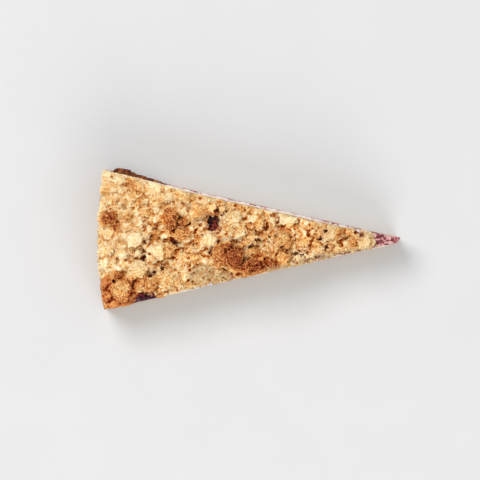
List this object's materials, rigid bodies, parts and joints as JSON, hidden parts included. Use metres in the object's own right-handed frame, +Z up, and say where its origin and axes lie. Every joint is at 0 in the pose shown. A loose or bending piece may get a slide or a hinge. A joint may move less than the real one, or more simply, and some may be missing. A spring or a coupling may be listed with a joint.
{
  "type": "berry cheesecake slice",
  "caption": "Wedge slice of baked cheesecake: pastry base with an outer rim, pale cheesecake, a layer with dark berries, and a lumpy golden crumble on top.",
  "frame": {"origin": "middle of the slice's box in plan, at the underside of the crust", "axes": "+X from the outer arc towards the slice's point, +Y across the slice, +Z up"},
  "size_m": [0.1334, 0.0622, 0.0385],
  "materials": {
    "crust": "matt baked pastry",
    "cheesecake": "soft satin",
    "berry_filling": "moist",
    "crumble": "matt, sandy"
  },
  "bodies": {
    "root": {"crust": "crust", "cheesecake": "cheesecake", "berry_filling": "berry_filling", "crumble": "crumble"}
  },
  "joints": []
}
